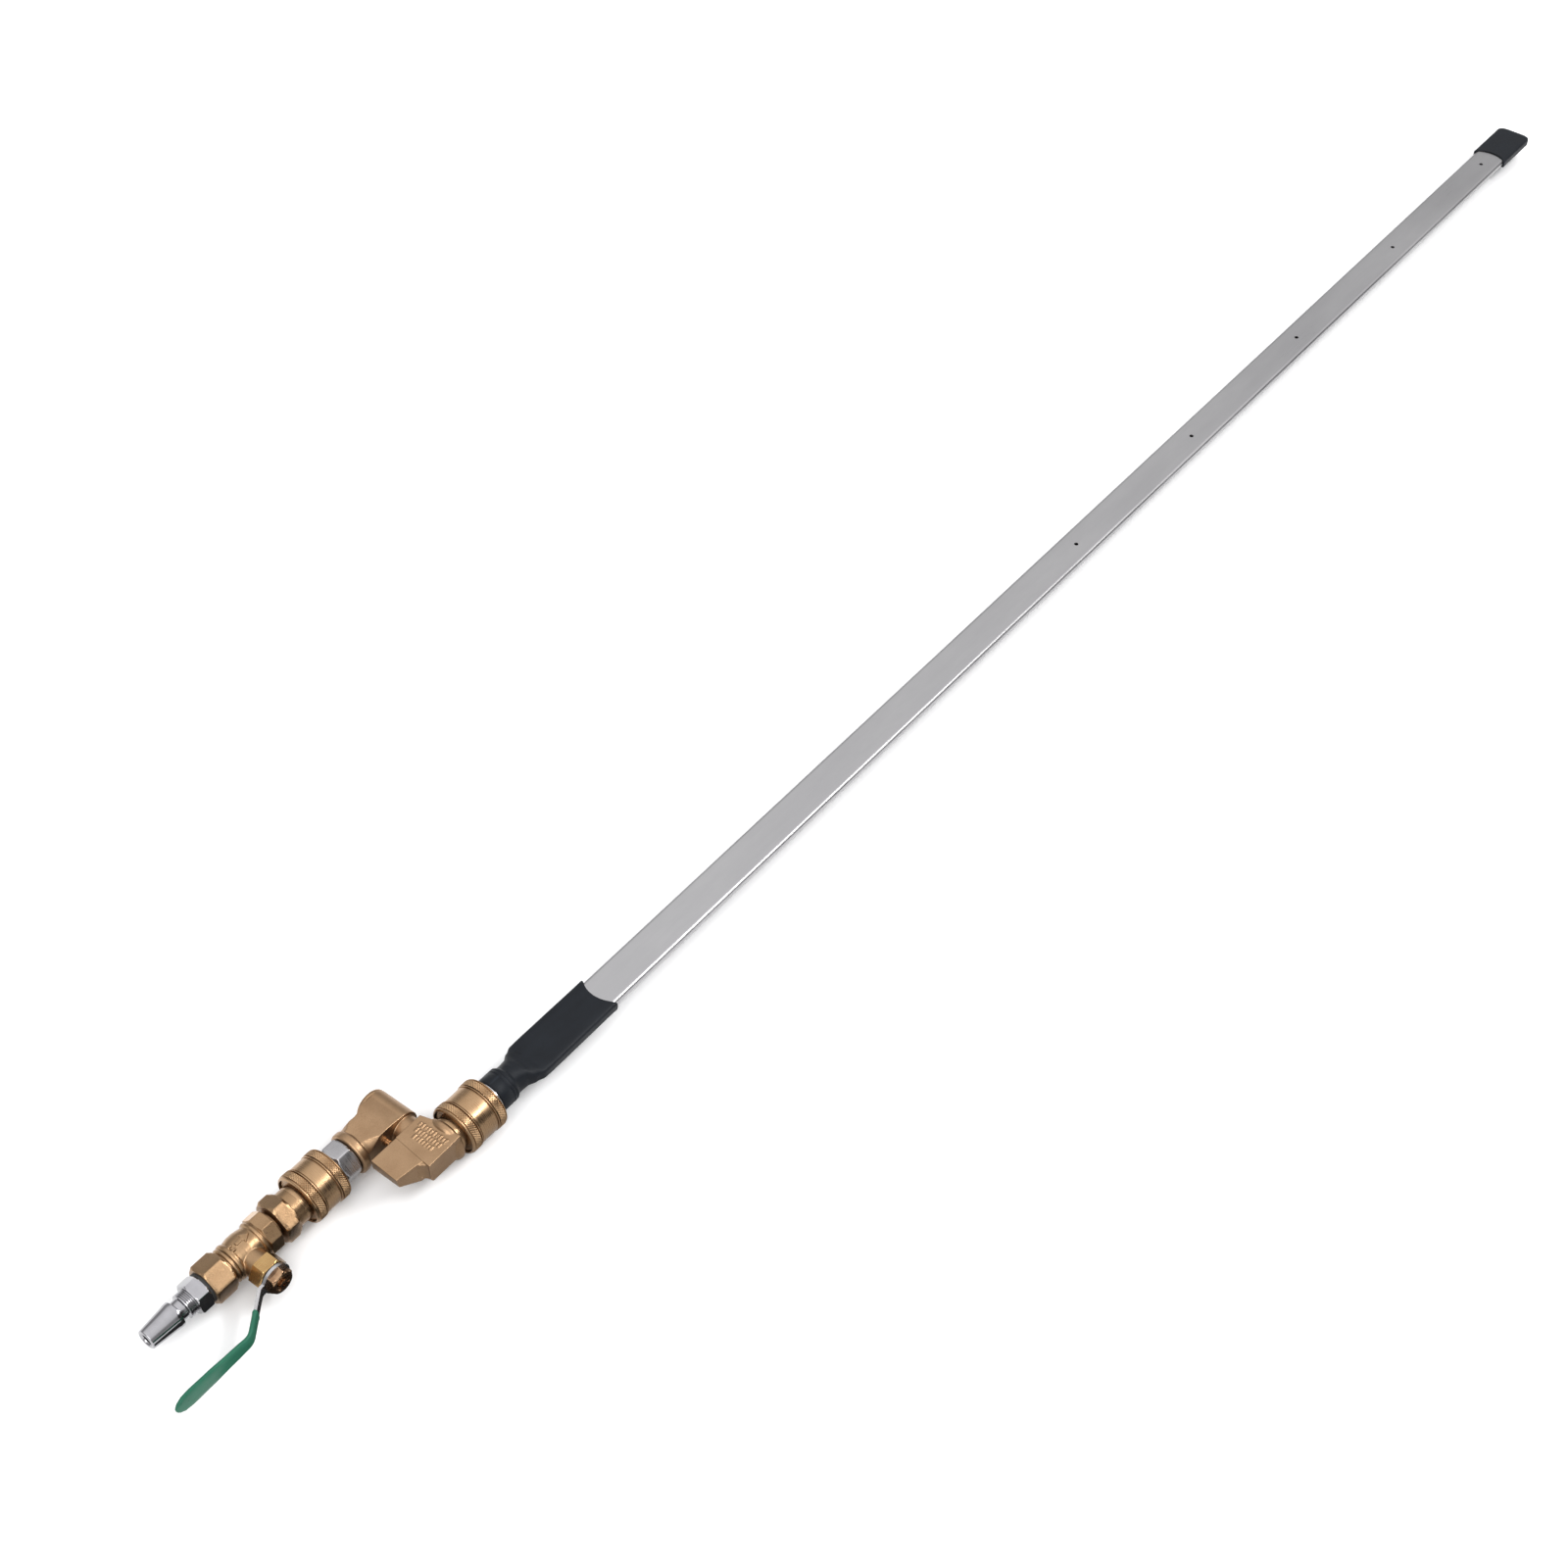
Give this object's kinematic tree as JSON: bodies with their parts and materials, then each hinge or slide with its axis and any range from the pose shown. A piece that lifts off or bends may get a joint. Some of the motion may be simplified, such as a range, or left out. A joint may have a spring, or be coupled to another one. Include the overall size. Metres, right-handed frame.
{
  "type": "flat blade spray lance",
  "caption": "Cleaning lance: long flat hollow blade with jets in one face, black boot and tip cap, offset brass swivel, sleeve couplers, lever ball valve and hose plug.",
  "frame": {"origin": "centre of the seal land of the inlet plug, on the inlet pipe axis", "axes": "+X along the pipe and the lance towards the blade's tip, +Z out of the blade's jet face, +Y away from the lance's side of the swivel"},
  "size_m": [1.1417, 0.0512, 0.0248],
  "materials": {
    "valve_brass": "forged brass, satin",
    "turned_brass": "turned brass, satin",
    "cast_brass": "cast brass, matt tumbled",
    "chrome_plate": "bright chrome plate",
    "nickel_plate": "dull nickel plate",
    "spring_steel": "hardened steel",
    "stainless_blade": "satin stainless",
    "black_vinyl": "semi-matt black vinyl",
    "seal_rubber": "black nitrile",
    "ptfe": "white PTFE",
    "zinc_plate": "zinc plated pressing",
    "green_vinyl": "dipped vinyl, semi-gloss",
    "copper_tone": "copper flashed brass"
  },
  "bodies": {
    "valve": {"inlet_plug": "chrome_plate", "inlet_gasket": "seal_rubber", "valve_end_cap": "valve_brass", "valve_body": "valve_brass", "seat_inlet": "ptfe", "seat_outlet": "ptfe", "stem_packing": "ptfe", "gland_nut": "valve_brass", "lower_adapter": "valve_brass", "lower_coupler_body": "turned_brass", "lower_lock_balls": "spring_steel", "lower_sleeve_spring": "spring_steel", "lower_snap_ring": "spring_steel", "lower_plug_seal": "seal_rubber", "lower_poppet": "turned_brass", "lower_poppet_spring": "spring_steel"},
    "lever": {"valve_ball": "spring_steel", "valve_stem": "copper_tone", "lever_arm": "zinc_plate", "lever_grip": "green_vinyl", "lever_nut": "copper_tone"},
    "lower_sleeve": {"lower_sleeve": "turned_brass"},
    "swivel_inlet_side": {"lower_nipple": "nickel_plate", "swivel_inlet": "cast_brass", "swivel_spindle": "spring_steel", "barrel_cap": "cast_brass", "stop_pin": "turned_brass", "swivel_washer": "ptfe", "spindle_o_rings": "seal_rubber"},
    "swivel_outlet_side": {"swivel_outlet": "cast_brass", "spindle_pins": "spring_steel", "upper_coupler_body": "turned_brass", "upper_lock_balls": "spring_steel", "upper_sleeve_spring": "spring_steel", "upper_snap_ring": "spring_steel", "upper_plug_seal": "seal_rubber"},
    "upper_sleeve": {"upper_sleeve": "turned_brass"},
    "lance": {"lance_nipple": "nickel_plate", "blade_ferrule": "spring_steel", "lance_boot": "black_vinyl", "lance_blade": "stainless_blade", "blade_end_plug": "stainless_blade", "tip_cap": "black_vinyl"}
  },
  "joints": [
    {"name": "lever_turn", "type": "hinge", "parent": "valve", "child": "lever", "pos_m": [0.037, -0.02, 0], "axis": [0, 1, 0], "range_deg": [0, 90]},
    {"name": "lower_sleeve_slide", "type": "slide", "parent": "valve", "child": "lower_sleeve", "axis": [1, 0, 0], "range_m": [-0.003, 0], "stiffness_N_per_m": 2500, "springref_m": 0.004, "deforming": ["lower_sleeve_spring"]},
    {"name": "lower_coupler_spin", "type": "hinge", "parent": "valve", "child": "swivel_inlet_side", "pos_m": [0.09, 0, 0], "axis": [1, 0, 0], "continuous": true},
    {"name": "swivel_turn", "type": "hinge", "parent": "swivel_inlet_side", "child": "swivel_outlet_side", "pos_m": [0.121, -0.014, 0], "axis": [0, 1, 0], "range_deg": [-90, 90]},
    {"name": "upper_sleeve_slide", "type": "slide", "parent": "swivel_outlet_side", "child": "upper_sleeve", "axis": [1, 0, 0], "range_m": [-0.003, 0], "stiffness_N_per_m": 2500, "springref_m": 0.004, "deforming": ["upper_sleeve_spring"]},
    {"name": "lance_spin", "type": "hinge", "parent": "swivel_outlet_side", "child": "lance", "pos_m": [0.155, -0.0264, 0], "axis": [1, 0, 0], "continuous": true}
  ]
}
